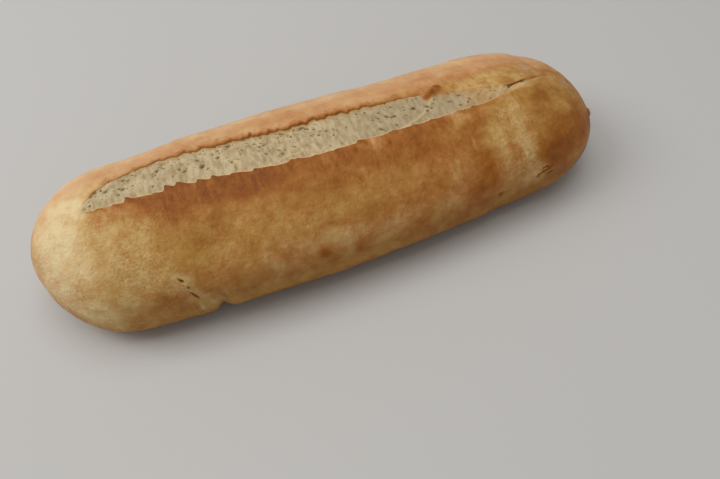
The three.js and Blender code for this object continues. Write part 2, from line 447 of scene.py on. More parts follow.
def skin_normal(x, angle, step):
    """Outward unit normals of the smooth skin; step is each ring's reach along x."""
    turn = 0.004
    here = section_at(x)
    around = skin(here, angle + turn) - skin(here, angle - turn)
    low = np.maximum(x - step, -LENGTH / 2)
    high = np.minimum(x + step, LENGTH / 2)
    along = skin(section_at(high), angle) - skin(section_at(low), angle)
    normal = np.cross(around, along)
    return normal / np.maximum(np.linalg.norm(normal, axis=-1, keepdims=True), LEAST_NORMAL)


def angle_of(section, y):
    """The angle round the section at which its upper side stands at y."""
    offset = y - section["centre"]
    half = np.where(offset > 0, section["back"], section["front"])
    return np.arccos(np.clip(offset / half, -SCORE_KEEPS_WITHIN, SCORE_KEEPS_WITHIN))


# ---- the grid of points

LEFT_END_RINGS = 48
RIGHT_END_RINGS = 58
BODY_RINGS = 342
# The columns of a ring in order, from the widest line at the back, over the crest and under
COLUMNS = {"back": 46, "back_wall": 5, "crumb": 48, "front_wall": 6, "front": 72, "under": 44}
# How closely the columns bunch towards the lips, and near the foot
BACK_BUNCHING = 0.94
FRONT_BUNCHING = 1.08
FOOT_BUNCHING = 0.07


def ring_places():
    """Where the rings stand: bunched towards each tip, evenly spaced between the ends."""
    left = LEFT_END_LENGTH * (1 - np.cos(np.linspace(0, np.pi / 2, LEFT_END_RINGS + 1)[1:]))
    right = RIGHT_END_LENGTH * (1 - np.cos(np.linspace(0, np.pi / 2, RIGHT_END_RINGS + 1)[1:]))
    start = -LENGTH / 2 + LEFT_END_LENGTH
    end = LENGTH / 2 - RIGHT_END_LENGTH
    body = np.linspace(start, end, BODY_RINGS + 2)[1:-1]
    return np.concatenate([left - LENGTH / 2, body, (LENGTH / 2 - right)[::-1]])


def teeth(x):
    """How far the torn teeth push the front lip towards the crumb."""
    rng = np.random.default_rng(SEED + 1)
    marks = list(BIG_TEETH)
    place, last = SMALL_TEETH_BETWEEN
    while place < last:
        place += SMALL_TOOTH_GAP * rng.uniform(0.5, 1.5)
        marks.append((place, rng.uniform(*SMALL_TOOTH_HEIGHTS)))
    total = np.zeros_like(x)
    for place, height in marks:
        past = x - place
        jump = smoothstep(past, -TOOTH_JUMP, TOOTH_JUMP)
        total += height * jump * np.exp(-np.maximum(past, 0) / TOOTH_TAIL)
    return total


def blank():
    """A grid of noughts, with a value for each point of the skin."""
    return np.zeros((len(x), column_count))


def shares(name):
    """The columns of one part of the ring as shares from 0 up to 1."""
    return (np.arange(COLUMNS[name]) / COLUMNS[name])[None]


x = column(ring_places())
ring_step = np.gradient(x[:, 0])[:, None] * 0.5
section = section_at(x)
half_size = (section["front"] + section["back"]) / 2
ends = np.cumsum(list(COLUMNS.values()))
column_count = ends[-1]
slices = [slice(end - count, end) for end, count in zip(ends, COLUMNS.values())]
at_back, at_back_wall, at_crumb, at_front_wall, at_front, at_under = slices

# The two lip lines, with their teeth and ragged edges
BACK_RAG_SIZE = 6
BACK_RAG = 1.5
FRONT_RAG_SIZE = 7
FRONT_RAG = 0.7
line_points = np.concatenate([x, np.zeros_like(x), np.zeros_like(x)], 1)
tooth = column(teeth(x[:, 0]))
back_ragged = column(fractal(line_points, BACK_RAG_SIZE, 3, 11)) * BACK_RAG
front_ragged = column(fractal(line_points, FRONT_RAG_SIZE, 2, 21)) * FRONT_RAG
back_bold = curve(BACK_LIP_BOLDNESS, x)
front_bold = curve(FRONT_LIP_BOLDNESS, x)
depth = np.clip(curve(SCORE_DEPTH, x), 0, 1)
back_y = curve(BACK_LIP, x) + back_ragged * back_bold
front_y = curve(FRONT_LIP, x) + (tooth + front_ragged) * front_bold

# Past the score's two ends the lip lines part again, only to space the columns out
parted = smoothstep(x, *LEFT_PARTING) + smoothstep(x, *RIGHT_PARTING)
opened = np.minimum(PARTED_WIDTH, section["plan"] * PARTED_WIDTH_AT_TIP) * parted
gap = np.maximum(LEAST_SCORE_WIDTH - (back_y - front_y), 0)
back_angle = angle_of(section, back_y + gap / 2) - opened / 2 / half_size
front_angle = angle_of(section, front_y - gap / 2) + opened / 2 / half_size
width = (front_angle - back_angle) * half_size
scale = np.clip(width / FULL_RELIEF_WIDTH, LEAST_RELIEF, 1)

# Each point's angle, its lift off the smooth skin, whether it is crumb, how far it stands in
# from the back lip, and whether it is a torn face
angle = blank()
lift = blank()
crumb = blank()
across = blank()
torn = blank()

# The crust behind the score, from the widest line up to the lip
angle[:, at_back] = shares("back") ** BACK_BUNCHING * back_angle
from_back_lip = (back_angle - angle[:, at_back]) * half_size
lip_top = BACK_LIP_RISE * back_bold
lift[:, at_back] = lip_top * hump(from_back_lip, 0, LIP_REACH)

# The rolled edge of the back lip, tucking under to the crumb
t = shares("back_wall")
tuck = BACK_TUCK * scale
floor_back = -BACK_STEP * depth * mix(0.25, 1, back_bold) * scale
across[:, at_back_wall] = bezier((0, 0.4 * tuck, 0.7 * tuck, tuck), t)
wall = (lip_top, lip_top * 0.9, mix(floor_back, lip_top, 0.4), floor_back)
lift[:, at_back_wall] = bezier(wall, t)
crumb[:, at_back_wall] = smoothstep(t, 0.55, 0.9)

# The crumb
CRUMB_EASING = 1.6
t = (np.arange(COLUMNS["crumb"]) / (COLUMNS["crumb"] - 1))[None]
foot = width - FRONT_BEVEL * scale * mix(0.5, 1, front_bold)
floor_front = -FRONT_STEP * depth * mix(0.4, 1, front_bold) * scale
across[:, at_crumb] = mix(tuck, foot, t)
lift[:, at_crumb] = mix(floor_back, floor_front, 1 - (1 - t) ** CRUMB_EASING)
lift[:, at_crumb] += CRUMB_BULGE * depth * scale * np.sin(np.pi * t)
crumb[:, at_crumb] = 1

# The torn face of the front lip, sloping up to its edge
t = (np.arange(1, COLUMNS["front_wall"] + 1) / (COLUMNS["front_wall"] + 1))[None]
edge = FRONT_LIP_RISE * front_bold + TOOTH_RISE * tooth * front_bold
slope = (foot, mix(foot, width, 0.5), mix(foot, width, 0.9), width)
across[:, at_front_wall] = bezier(slope, t)
wall = (floor_front, floor_front, mix(floor_front, edge, 0.75), edge)
lift[:, at_front_wall] = bezier(wall, t)
crumb[:, at_front_wall] = 1 - smoothstep(t, 0.85, 1.0)
torn[:, at_front_wall] = smoothstep(t, 0.1, 0.45) * front_bold

for part in (at_back_wall, at_crumb, at_front_wall):
    angle[:, part] = back_angle + across[:, part] / half_size

# The crust in front of the score, from the lip down to the widest line
EDGE_FALL = 1.3
angle[:, at_front] = mix(front_angle, np.pi, shares("front") ** FRONT_BUNCHING)
from_front_lip = (angle[:, at_front] - front_angle) * half_size
lift[:, at_front] = edge * np.exp(-((from_front_lip / LIP_REACH) ** EDGE_FALL))

# Round the foot and under the loaf, with the columns closest near the foot
t = shares("under")
angle[:, at_under] = np.pi * (1 + t + FOOT_BUNCHING * np.sin(4 * np.pi * t))

base = skin(section, angle)
normal = skin_normal(x, angle, ring_step)
down = np.degrees(angle) - 90
X = x * np.ones_like(angle)
is_crumb = crumb > 0.5
# Where the score runs out, its floor counts as crust
crust = 1 - crumb * np.clip(3 * depth, 0, 1)
# From this far down on, the underside belongs to the back of the loaf
BACK_FOOT = 190
BACK_WIDEST = 270
before_back = down < BACK_FOOT


# ---- marks by their places

MM_PER_DEGREE = 1.15


def blob(x_at, down_at, half_x, half_down, at=None):
    """A soft round patch at (x, down), 1 in its middle, over the grid or over given places."""
    along, below = (X, down) if at is None else at
    return np.exp(-(((along - x_at) / half_x) ** 2) - ((below - down_at) / half_down) ** 2)


def patches(table, at=None):
    """The sum of soft patches, each (x, down, half length, half height, strength)."""
    total = blank()
    for *place, strength in table:
        total += strength * blob(*place, at)
    return total


def near_segment(start, end, other=None):
    """Distance in mm from a segment between two (x, down) points, and the share along it.

    Where other is given it is the second coordinate, in mm, in place of down.
    """
    if other is None:
        other = down * MM_PER_DEGREE
        start = (start[0], start[1] * MM_PER_DEGREE)
        end = (end[0], end[1] * MM_PER_DEGREE)
    a = np.array(start, float)
    b = np.array(end, float)
    p = np.stack([X, other], -1)
    run = b - a
    share = np.clip(((p - a) @ run) / (run @ run), 0, 1)
    return np.linalg.norm(p - a - share[..., None] * run, axis=-1), share


def line_marks(points, half_width, aside=0):
    """How near the grid is to a line of (x, down) points: 1 on it, or at a distance aside."""
    marks = blank()
    for start, end in zip(points, points[1:]):
        away, _ = near_segment(start, end)
        marks = np.maximum(marks, hump(away, aside, half_width))
    return marks


def taper(share, blunt):
    """Full in the middle of a line and thin at its two ends, which stay this blunt."""
    return np.sin(np.pi * np.clip(share, blunt, 1 - blunt))


def rows_near(x_at, reach):
    """The rings within reach of x, as a slice, or None where there are none."""
    rows = np.nonzero(np.abs(x[:, 0] - x_at) < reach)[0]
    return slice(rows[0], rows[-1] + 1) if len(rows) else None


def ring_at(x_at):
    return np.argmin(np.abs(x[:, 0] - x_at))


# ---- relief of the crust

WRINKLE_SIZE = (3.6, 12, 5)
WRINKLE_HEIGHT = 0.30
WRINKLE_PATCH_SIZE = 30
LEFT_WRINKLES = 0.8
PEBBLE_SIZE = 5.5
PEBBLE_HEIGHT = 0.26
CALM_LIP_REACH = 4
CALM_LIP_SHARE = 0.8


def crust_relief():
    """Lift of the crust from its wrinkles and small bumps, in mm."""
    where = smoothstep(noise(base, WRINKLE_PATCH_SIZE, 41), -0.5, 0.6)
    around = np.stack([X, down * MM_PER_DEGREE, 0 * X], -1)
    wrinkles = WRINKLE_HEIGHT * fractal(around, WRINKLE_SIZE, 2, 51) * where
    wrinkles *= 1 + LEFT_WRINKLES * smoothstep(X, -90, -150) * smoothstep(down, -10, 10)
    pebbles = PEBBLE_HEIGHT * fractal(base, PEBBLE_SIZE, 2, 61)
    near_lip = blank()
    near_lip[:, at_back] = hump(from_back_lip, 0, CALM_LIP_REACH)
    return (wrinkles + pebbles) * (1 - CALM_LIP_SHARE * near_lip)


COARSE_FOLDS = (4.6, 5.0, 5.0)
FINE_FOLDS = (2.2, 2.6, 2.6)
FINE_FOLD_SHARE = 0.6
FOLD_SHARPNESS = 2.2


def puckers():
    """Small folds, from below 0 in their creases to 1 on their ridges, and where they show."""
    where = blank()
    for place in PUCKERED:
        where = np.maximum(where, blob(*place))
    folds = noise(base, COARSE_FOLDS, 191) + FINE_FOLD_SHARE * noise(base, FINE_FOLDS, 192)
    return 1 - FOLD_SHARPNESS * np.abs(folds), smoothstep(where, 0.15, 0.8)


def dimples(count, radius, height, where, seed):
    """Small round bumps (or pits, where height is negative) at random (x, down) places."""
    rng = np.random.default_rng(SEED + seed)
    relief = blank()
    mark = blank()
    for _ in range(count):
        x_at, down_at = where(rng)
        r = radius * rng.uniform(0.6, 1.4)
        rows = rows_near(x_at, 2 * r)
        if rows is None:
            continue
        away = np.hypot(X[rows] - x_at, (down[rows] - down_at) * MM_PER_DEGREE) / r
        shape = np.exp(-(away**2) * 1.6) * (away < 2.2)
        relief[rows] += height * rng.uniform(0.6, 1.2) * shape
        mark[rows] = np.maximum(mark[rows], shape)
    return relief, mark


def lip_down(lip, x_at):
    """Where a lip line stands at x, in degrees down from the crest."""
    place = np.array(x_at)
    return float(np.degrees(angle_of(section_at(place), curve(lip, place)))) - 90


def anywhere(rng):
    """A random (x, down) place over the back, the crest and the front."""
    return rng.uniform(-185, 185), rng.uniform(-90, 110)


def along_back_lip(rng):
    x_at = rng.uniform(-150, 95)
    return x_at, lip_down(BACK_LIP, x_at) - rng.uniform(0.5, 5)


def along_front_lip(rng):
    """A random (x, down) place just below the front lip, most of them close to it."""
    x_at = rng.uniform(-150, 125)
    return x_at, lip_down(FRONT_LIP, x_at) + abs(rng.normal(0, 6)) + 1.5


def pale_ridges():
    marks = blank()
    for start, end, boldness in PALE_RIDGES:
        away, share = near_segment(start, end)
        marks = np.maximum(marks, boldness * hump(away, 0, RIDGE_HALF_WIDTH) * taper(share, 0.1))
    return marks


def slits():
    """The relief of the open slits with their rims, and where the slits are, which are painted dark as shade
    inside them.
    """
    relief = blank()
    marks = blank()
    for start, end, half_width, slit_depth in SLITS:
        away, share = near_segment(start, end)
        shape = hump(away, 0, half_width * taper(share, 0.08))
        relief -= slit_depth * shape
        relief += SLIT_RIM_HEIGHT * hump(away, SLIT_RIM_PLACE * half_width, half_width)
        marks = np.maximum(marks, shape)
    return relief, marks


def knobs():
    """The relief of the raised knobs, and how dark they make the crust."""
    relief = blank()
    marks = blank()
    for start, end, half_width, height, darkness in KNOBS:
        away, _ = near_segment(start, end)
        shape = hump(away, 0, half_width)
        relief += height * shape
        marks = np.maximum(marks, darkness * np.sqrt(shape))
    return relief, marks


lift += LUMP_HEIGHT * fractal(base, LUMP_SIZE, 2, 31)
lift += crust * crust_relief()
lift += patches(DENTS)
folds, puckered = puckers()
lift += PUCKER_HEIGHT * folds * puckered
ridge_marks = pale_ridges()
lift += RIDGE_HEIGHT * ridge_marks

# Bumps and pits: how many, their radius and height in mm, and where they lie
bumps, _ = dimples(260, 1.3, 0.28, anywhere, 71)
lip_bumps, lip_marks = dimples(90, 1.3, 0.5, along_back_lip, 72)
front_bumps, front_marks = dimples(70, 1.5, 0.35, along_front_lip, 73)
pits, pit_marks = dimples(90, 0.75, -0.5, anywhere, 74)
lift += crust * (bumps + lip_bumps + front_bumps + pits)

slit_relief, slit_shade_marks = slits()
knob_relief, knob_marks = knobs()
lift += slit_relief + knob_relief

burst_marks = line_marks(BURST_LINE, BURST_WIDTH)
lift -= BURST_DEPTH * burst_marks * smoothstep(down, 55, 100)
lift -= NOTCH_DEPTH * hump(X, NOTCH_X, NOTCH_REACH) * smoothstep(down, 80, 104) * (down < 200)

crease_marks = line_marks(CREASE, CREASE_HALF_WIDTH)
crease_banks = line_marks(CREASE, BANK_HALF_WIDTH, BANK_PLACE)
fading = smoothstep(X, 190, 150)
lift += fading * (BANK_HEIGHT * crease_banks - CREASE_DEPTH * crease_marks)

# ---- relief of the crumb

# A soft web of ridges, open at the right-hand end in a crevice
web_points = np.stack([X, across, 0 * X], -1)
lift += crumb * depth * WEB_HEIGHT * fractal(web_points, WEB_SIZE, 3, 81)
crevice = smoothstep(X, CREVICE[0] - CREVICE_TAPER, CREVICE[0])
crevice *= smoothstep(X, CREVICE[1] + CREVICE_TAPER, CREVICE[1]) * is_crumb
lift -= CREVICE_DEPTH * crevice
# The crevice is painted dark, which is painted shade in the open crevice
hollow_shade = CREVICE_SHADE * crevice


def cut_pore(x_at, share, r, stretch, pore_depth):
    """Let a pore into the crumb at a share of the way across it, and mark it for the painted shade inside
    it.
    """
    rows = rows_near(x_at, 2.2 * r * stretch)
    if rows is None:
        return
    s_at = share * width[ring_at(x_at), 0]
    away = np.hypot((X[rows] - x_at) / stretch, across[rows] - s_at) / r
    shape = np.clip(1 - away**2, 0, 1) ** 0.5 * is_crumb[rows]
    lift[rows] -= pore_depth * shape
    hollow_shade[rows] = np.maximum(hollow_shade[rows], shape)


for x_at, share, r in BIG_PORES:
    cut_pore(x_at, share, r, BIG_PORE_STRETCH, BIG_PORE_DEPTH * r)
rng = np.random.default_rng(SEED + 2)
for _ in range(SMALL_PORES):
    x_at = rng.uniform(*SMALL_PORES_BETWEEN)
    share = 0.05 + 0.85 * rng.beta(1.3, 2.0)
    r = SMALL_PORE_RADIUS + rng.exponential(SMALL_PORE_SPREAD)
    stretch = rng.uniform(*SMALL_PORE_STRETCH)
    cut_pore(x_at, share, min(r, LARGEST_SMALL_PORE), stretch, SMALL_PORE_DEPTH * min(r, DEEPEST_SMALL_PORE))


def strands():
    marks = blank()
    for path, boldness in STRANDS:
        places = [(x_at, share * width[ring_at(x_at), 0]) for x_at, share in path]
        for start, end in zip(places, places[1:]):
            away, _ = near_segment(start, end, across)
            marks = np.maximum(marks, boldness * hump(away, 0, STRAND_HALF_WIDTH) * is_crumb)
    return marks


strand_marks = strands()
lift += STRAND_HEIGHT * strand_marks
torn *= mix(0.25, 1, smoothstep(column(noise(line_points, 9, 86)), -0.5, 0.5))
torn = np.maximum(torn, 0.8 * strand_marks)
# On puckered crumb the fold ridges are painted lighter and the creases darker: painted light and shade of
# the folds
torn = np.maximum(torn, 0.7 * is_crumb * puckered * np.clip(folds, 0, 1))
hollow_shade = np.maximum(hollow_shade, 0.5 * is_crumb * puckered * np.clip(-0.6 - folds, 0, 1))

# ---- how brown the crust is

# Bake runs from 0, pale, to 1, nearly black. Russet is 0 on golden skin and 1 on reddish skin.
PLAIN_BAKE = 0.44
PLAIN_RUSSET = 0.22
DARKEST_CRUST = 0.78
# Bands along the middle of the front, partly browning and partly painted light: the higher band is darker,
# partly painted shade, and the lower band paler, partly painted light bounced up from below. (down, half
# height in degrees, change of bake)
BROWNING_AND_LIGHT_BANDS = [(36, 22, 0.11), (71, 11, -0.09)]
# Bake gained towards the foot: (from, to) in degrees down, and the gain
FOOT = (82, 96)
FOOT_BAKE = 0.12
RIGHT_FOOT_BAKE = 0.06
UNDER_BAKE = 0.16
BACK_UNDER_BAKE = (0.41, 0.56)
# The back is redder, which is its own colour, and paler, most of all a little behind the crest, which is
# partly painted sheen from the light behind
BACK_PALER_AND_SHEEN = 0.16
BACK_REDDER = 0.65
MID_BACK_PALER_AND_SHEEN = 0.13
LEFT_END_PALER = 0.16
LEFT_TIP_REDDER = 0.42

behind = smoothstep(down, -2, -20) * smoothstep(section["plan"], 0.2, 0.85)
far_behind = smoothstep(down, -44, -76)
middle_part = smoothstep(X, -125, -95) * smoothstep(X, 125, 95)


def plain_bake():
    bake = PLAIN_BAKE + 0.08 * fractal(base, 34, 3, 91)
    # Partly painted light: painted shade on the higher band, painted bounced light on the lower band
    for down_at, half_down, change in BROWNING_AND_LIGHT_BANDS:
        bake += change * hump(down, down_at, half_down) * middle_part
    bake += FOOT_BAKE * smoothstep(down, *FOOT)
    bake += RIGHT_FOOT_BAKE * smoothstep(down, 84, 96) * smoothstep(X, -20, 100) * before_back
    # Paler behind the crest: partly painted sheen from the light behind
    bake -= BACK_PALER_AND_SHEEN * behind * (1 - 0.8 * far_behind)
    bake -= MID_BACK_PALER_AND_SHEEN * smoothstep(down, -22, -40) * smoothstep(down, -72, -46)
    bake += UNDER_BAKE * smoothstep(down, 130, 170) * before_back
    back_under = mix(*BACK_UNDER_BAKE, smoothstep(down, BACK_WIDEST, BACK_FOOT))
    return np.where(before_back, bake, back_under)


def plain_russet():
    russet = PLAIN_RUSSET + 0.14 * smoothstep(X, -80, 40)
    russet += BACK_REDDER * behind * (1 - 0.7 * far_behind)
    russet += 0.19 * smoothstep(down, BACK_FOOT, BACK_WIDEST)
    russet += 0.25 * fractal(base, 18, 2, 96)
    return russet + LEFT_TIP_REDDER * smoothstep(X, -165, -185)


def end_cap(along, below):
    """Where the darker cap of the right-hand end lies: sharp at its edge and fading to the tip."""
    past_edge = along - curve(CAP_EDGE, below)
    cap = smoothstep(past_edge, -2.5, 3) * smoothstep(below, 8, 20) * smoothstep(below, 90, 76)
    return cap * hump(np.maximum(past_edge, 0), 0, CAP_REACH)


bake = plain_bake()
russet = plain_russet()

# The marks' places are bent a little, so that no patch is a plain oval
bent = (X + 5.0 * fractal(base, 16, 2, 101), down + 4.0 * fractal(base, 12, 2, 111))
browned_patches = patches(BROWNED, bent)
pale_patches = patches(PALE, bent)
bake += CAP_BAKE * end_cap(*bent) + BROWNED_BAKE * browned_patches - pale_patches
russet += BROWNED_RUSSET * browned_patches - PALE_RUSSET * pale_patches - patches(GILDED, bent)

# Clouds of browning: their size in mm, and how far they change bake and russet
CLOUD_SIZE = 11
CLOUD_BAKE = 0.10
CLOUD_RUSSET = 0.35
clouds = fractal(base, CLOUD_SIZE, 3, 121)
bake += CLOUD_BAKE * clouds + 0.04 * fractal(base, 4, 2, 131)
russet += CLOUD_RUSSET * clouds
bake -= LEFT_END_PALER * smoothstep(X, -105, -185)

# Both lips bake darkest along their edges, in patches
edge_patch = np.clip(0.6 + 0.8 * column(fractal(line_points, 7, 3, 141)), 0.1, 1.2)
back_edge = back_bold * hump(from_back_lip, 0, 2.0) * edge_patch
bake[:, at_back] += 0.10 * back_edge
russet[:, at_back] += 0.4 * back_edge
bake[:, at_back_wall] += (0.02 + 0.10 * edge_patch) * back_bold
russet[:, at_back_wall] += 0.6 * back_bold
front_patch = np.clip(0.30 * tooth + 0.35 * edge_patch, 0, 1)
bake[:, at_front] += 0.26 * front_bold * front_patch * hump(from_front_lip, 0, 2.8)
russet[:, at_front] += 0.8 * front_bold * hump(from_front_lip, 0, 6)

# Below the tips of the big teeth the crust is darker: partly darker baked crust, partly painted shade under
# the teeth
TOOTH_SHADE_AND_BAKE = 0.11
TALLEST_TOOTH_SHADE_AND_BAKE = 2.5
for place, height in BIG_TEETH:
    below_tip = float(np.interp(place + 1, x[:, 0], np.degrees(front_angle[:, 0]))) - 90
    tail_end = (place + 2 + 2.2 * height, below_tip + 1 + 1.2 * height)
    away, _ = near_segment((place + 1, below_tip), tail_end)
    bake += TOOTH_SHADE_AND_BAKE * min(height, TALLEST_TOOTH_SHADE_AND_BAKE) * hump(away, 0, 1.0 + 0.4 * height) * crust

# The relief's own marks show in the browning too; the darkening of the slits, pits and crease is painted
# shade in those hollows, and the puckers are painted lighter on their ridges and darker in their creases
bake += 0.11 * lip_marks + 0.08 * front_marks + 0.16 * pit_marks + knob_marks
bake += 0.05 * crease_marks - 0.06 * crease_banks
bake += 0.55 * slit_shade_marks - 0.16 * burst_marks * (1 - slit_shade_marks)
bake -= 0.10 * folds * puckered + 0.22 * ridge_marks
bake = np.clip(bake, 0, DARKEST_CRUST + 0.4 * slit_shade_marks)
bake = np.minimum(bake, 1)
russet = np.clip(russet + 2.4 * knob_marks, 0, 1)

# ---- where the other looks lie

# Where the back lip is faint the crumb fades gradually into the crust
blurred = smoothstep(across + 2.6 * noise(base, 4, 161), 0.3, 6.5) * is_crumb
crumb_colour = np.where(is_crumb, mix(blurred, crumb, np.clip(back_bold * 1.6, 0, 1)), crumb)
crumb_colour = crumb_colour * np.clip(depth * 2, 0, 1) * smoothstep(x, 150, 144)
crumb_colour = np.clip(crumb_colour * (1 - 6 * knob_marks), 0, 1)
# The crumb is toasted just under the back lip and towards the right
toasted = 0.5 * hump(across, 0, 2.6) * back_bold + 0.50 * smoothstep(X, 80, 128)
toasted = np.clip(toasted + 0.2 * noise(base, 5, 181), 0, 1) * is_crumb
# It is darker towards the right, which is painted shade where the crumb turns away from the light, and in
# darker patches at the far left
crumb_shade_and_patches = smoothstep(X, -10, 50) + 0.5 * smoothstep(X, -85, -105) * smoothstep(noise(base, 6, 186), -0.4, 0.4)
crumb_shade_and_patches *= is_crumb
# Small pores crowd nearest the back lip
porous = mix(1.0, 0.25, smoothstep(across / np.maximum(width, 1), 0.25, 0.75)) * crumb_colour
# Thin flaky skin shows pale flecks low on the left and beside the pale band on the right
flaky = mix(0.4, 1, smoothstep(noise(base, 24, 171), -0.4, 0.5))
flaky *= np.clip(0.3 + blob(-145, 50, 60, 60) + 0.8 * blob(118, 55, 22, 50), 0, 1)
flaky *= smoothstep(down + 14 * smoothstep(X, -120, -160), 4, 20)
flaky *= 1 + 0.6 * smoothstep(X, -130, -175)
# Streaks run down the crust from the front lip
streaky = blank()
streaky[:, at_front] = front_bold * hump(from_front_lip, 0, 16)
streaky *= smoothstep(noise(base, 15, 176), -0.6, 0.4)
# The crust behind the score is smoother and more even than the front
calm = smoothstep(down, -6, -20)

flour = blank()
for *place, strength in FLOURED:
    flour = np.maximum(flour, strength * blob(*place))
flour += 0.2 * smoothstep(down, 150, 185) * smoothstep(noise(base, 14, 151), -0.2, 0.6)
flour = np.clip(flour, 0, 1)

# ---- the mesh

points = base + normal * lift[..., None]
points[..., 2] = np.maximum(points[..., 2], 0)

tips = []
for tip_x in (-LENGTH / 2, LENGTH / 2):
    tip_section = section_at(np.array(tip_x))
    tips.append((tip_x, tip_section["centre"], tip_section["middle"]))

rings, around = angle.shape
vertices = np.concatenate([points.reshape(-1, 3), np.array(tips, float)])
low = vertices.min(0)
high = vertices.max(0)
shift = np.array([(low[0] + high[0]) / 2, (low[1] + high[1]) / 2, 0])
vertices = (vertices - shift) * MM

ring_index = np.arange(rings - 1)[:, None] * around
here = np.arange(around)[None]
beside = (here + 1) % around
next_ring = ring_index + around
corners = [ring_index + here, ring_index + beside, next_ring + beside, next_ring + here]
quads = np.stack(corners, -1).reshape(-1, 4)
last_ring = (rings - 1) * around
left_tip = rings * around
left_fan = [(left_tip, (i + 1) % around, i) for i in range(around)]
right_fan = [(left_tip + 1, last_ring + i, last_ring + (i + 1) % around) for i in range(around)]

mesh = bpy.data.meshes.new("loaf")
mesh.from_pydata(vertices.tolist(), [], quads.tolist() + left_fan + right_fan)
mesh.update()
mesh.shade_smooth()
loaf = bpy.data.objects.new("loaf_crust_and_crumb", mesh)
bpy.context.scene.collection.objects.link(loaf)

# The pore mask carries the painted shade of the pores, the crevice and the crumb's creases
MASKS = {
    "bake": bake, "russet": russet, "crumb": crumb_colour, "pore": hollow_shade, "torn": torn,
    "toasted": toasted, "flour": flour, "flaky": flaky, "streaky": streaky, "calm": calm,
    "porous": porous, "crumb_shade_and_patches": crumb_shade_and_patches,
}
for name, values in MASKS.items():
    attribute = mesh.attributes.new(name, "FLOAT", "POINT")
    at_tips = [values[0].mean(), values[-1].mean()]
    attribute.data.foreach_set("value", np.concatenate([values.reshape(-1), at_tips]).astype(np.float32))


# ---- materials

class Nodes:
    """Short calls for building a material's node tree."""

    def __init__(self, name):
        self.material = bpy.data.materials.new(name)
        self.material.use_nodes = True
        self.tree = self.material.node_tree
        self.shader = self.tree.nodes["Principled BSDF"]
        self.coordinates = None

    def put(self, socket, value):
        """Link a socket to another, or set its value."""
        if isinstance(value, bpy.types.NodeSocket):
            self.tree.links.new(value, socket)
        else:
            socket.default_value = value

    def place(self):
        if self.coordinates is None:
            self.coordinates = self.node("TexCoord")
        return self.coordinates.outputs["Object"]

    def node(self, kind, **values):
        """A new node, with the sockets of those names linked or set."""
        node = self.tree.nodes.new("ShaderNode" + kind)
        for name, value in values.items():
            self.put(node.inputs[name], value)
        return node

    def attribute(self, name):
        node = self.node("Attribute")
        node.attribute_name = name
        return node.outputs["Fac"]

    def noise(self, size_mm, detail, roughness=0.55, squeeze=None, distortion=0.0):
        """Noise from 0 to 1; squeeze scales the place along each axis, which draws streaks."""
        place = self.place()
        if squeeze:
            place = self.node("Mapping", Vector=place, Scale=squeeze).outputs["Vector"]
        node = self.node("TexNoise", Vector=place, Scale=1 / (size_mm * MM), Detail=detail,
                         Roughness=roughness, Distortion=distortion)
        return node.outputs["Fac"]

    def swing(self, *noise_settings):
        """Noise from -0.5 to 0.5."""
        return self.math("SUBTRACT", self.noise(*noise_settings), 0.5)

    def holes(self, size_mm, share, largest):
        """Round spots, one at most in each cell: share of cells that have one, and its radius."""
        cells = self.node("TexVoronoi", Vector=self.place(), Scale=1 / (size_mm * MM))
        parts = self.node("SeparateColor", Color=cells.outputs["Color"])
        radius = self.spread(parts.outputs[0], 1 - share, 1, 0, largest)
        inside = self.math("SUBTRACT", radius, cells.outputs["Distance"])
        return self.spread(inside, 0, 0.08)

    def math(self, operation, a, b=0.0, c=0.0):
        node = self.node("Math")
        node.operation = operation
        for socket, value in zip(node.inputs, (a, b, c)):
            self.put(socket, value)
        return node.outputs[0]

    def times(self, a, b):
        return self.math("MULTIPLY", a, b)

    def spread(self, value, low, high, to_low=0.0, to_high=1.0):
        """Map the range from low to high onto another, held at its ends."""
        ends = {"From Min": low, "From Max": high, "To Min": to_low, "To Max": to_high}
        return self.node("MapRange", Value=value, **ends).outputs["Result"]

    def mix(self, factor, a, b):
        """The colour that is a factor of the way from a to b."""
        node = self.node("Mix")
        node.data_type = "RGBA"
        self.put(node.inputs[0], factor)
        for socket, value in zip((node.inputs[6], node.inputs[7]), (a, b)):
            self.put(socket, value if isinstance(value, bpy.types.NodeSocket) else (*value, 1))
        return node.outputs[2]

    def ramp(self, value, stops):
        """The colour at a value along (place, colour) stops."""
        node = self.node("ValToRGB", Fac=value)
        ramp = node.color_ramp
        while len(ramp.elements) < len(stops):
            ramp.elements.new(0.5)
        for element, (place, colour) in zip(ramp.elements, stops):
            element.position = place
            element.color = (*colour, 1)
        return node.outputs["Color"]

    def bump(self, height, distance_mm):
        node = self.node("Bump", Height=height, Distance=distance_mm * MM, Strength=1.0)
        self.put(self.shader.inputs["Normal"], node.outputs["Normal"])


GOLDEN_STOPS = [
    (0.00, (0.78, 0.62, 0.35)),
    (0.25, (0.60, 0.395, 0.150)),
    (0.45, (0.46, 0.240, 0.056)),
    (0.62, (0.35, 0.156, 0.027)),
    (0.80, (0.25, 0.087, 0.009)),
    (1.00, (0.11, 0.032, 0.008)),
]
RUSSET_STOPS = [
    (0.00, (0.74, 0.50, 0.28)),
    (0.25, (0.63, 0.345, 0.160)),
    (0.45, (0.48, 0.197, 0.059)),
    (0.62, (0.37, 0.129, 0.019)),
    (0.80, (0.27, 0.079, 0.009)),
    (1.00, (0.10, 0.027, 0.007)),
]
CRUMB_LIGHT = (0.60, 0.49, 0.305)
CRUMB_DARK = (0.37, 0.27, 0.135)
CRUMB_SHADE_AND_PATCH_COLOUR = (0.33, 0.265, 0.16)
TOASTED_COLOUR = (0.48, 0.305, 0.130)
TORN_COLOUR = (0.68, 0.50, 0.28)
